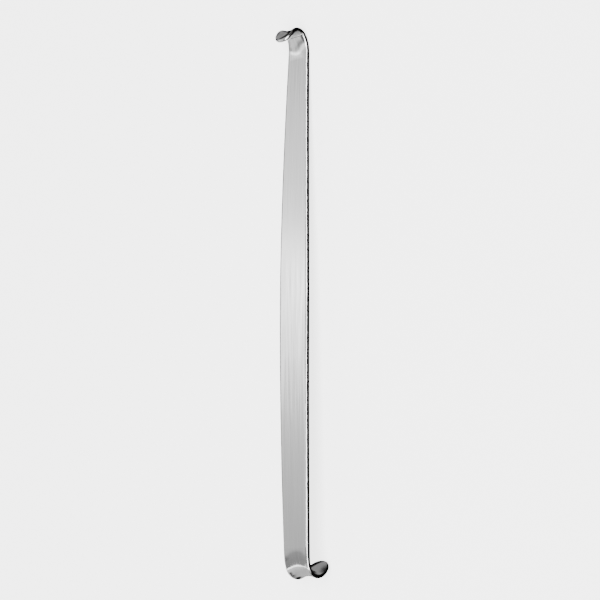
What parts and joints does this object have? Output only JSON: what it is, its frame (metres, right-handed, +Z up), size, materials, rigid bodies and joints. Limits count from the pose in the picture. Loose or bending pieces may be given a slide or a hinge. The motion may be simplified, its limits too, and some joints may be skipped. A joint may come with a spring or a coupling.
{
  "type": "surgical retractor",
  "caption": "Slim hand-held surgical retractor: one bowed steel strip with a narrow hook at one end and a wider hook, turned the other way, at the other.",
  "frame": {"origin": "centre of the bounding box, on the surface that the retractor lies on", "axes": "+Y along the handle towards the narrow hook, +X across the strip, +Z up, out of the handle's front face"},
  "size_m": [0.0104, 0.1518, 0.011],
  "materials": {
    "steel": "satin"
  },
  "bodies": {
    "root": {"retractor": "steel"}
  },
  "joints": []
}
